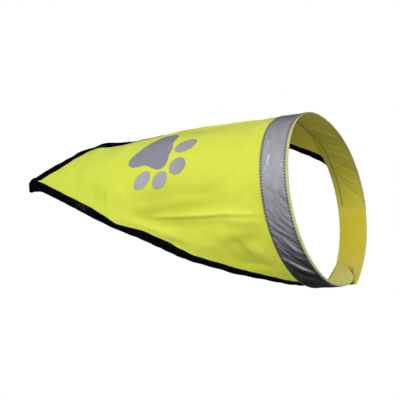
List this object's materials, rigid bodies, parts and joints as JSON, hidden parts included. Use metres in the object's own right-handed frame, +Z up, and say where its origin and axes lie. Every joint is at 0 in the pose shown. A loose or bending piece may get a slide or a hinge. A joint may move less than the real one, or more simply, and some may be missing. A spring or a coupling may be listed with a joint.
{
  "type": "dog safety vest",
  "caption": "Dog safety vest: a bound triangular back panel with a paw print, sewn to a wide closed neck loop with reflective tape.",
  "frame": {"origin": "the inside of the neck band at the top of the loop, halfway across the band, where the wearer's neck carries it", "axes": "+X toward the wearer's head, +Z up, +Y to the wearer's left; the tip of the back panel points to -X over the tail"},
  "size_m": [0.4893, 0.2263, 0.2685],
  "materials": {
    "yellow_cloth": "fluorescent yellow plain-weave polyester, satin sheen",
    "silver_tape": "silver glass-bead reflective tape, dull metallic",
    "black_binding": "black bias tape, matt",
    "silver_film": "silver heat-pressed reflective film, dull metallic"
  },
  "bodies": {
    "root": {"back_panel": "yellow_cloth", "neck_band": "yellow_cloth", "reflective_tape": "silver_tape", "binding_right": "black_binding", "binding_left": "black_binding", "paw_pad": "silver_film", "paw_toe_1": "silver_film", "paw_toe_2": "silver_film", "paw_toe_3": "silver_film", "paw_toe_4": "silver_film"}
  },
  "joints": []
}
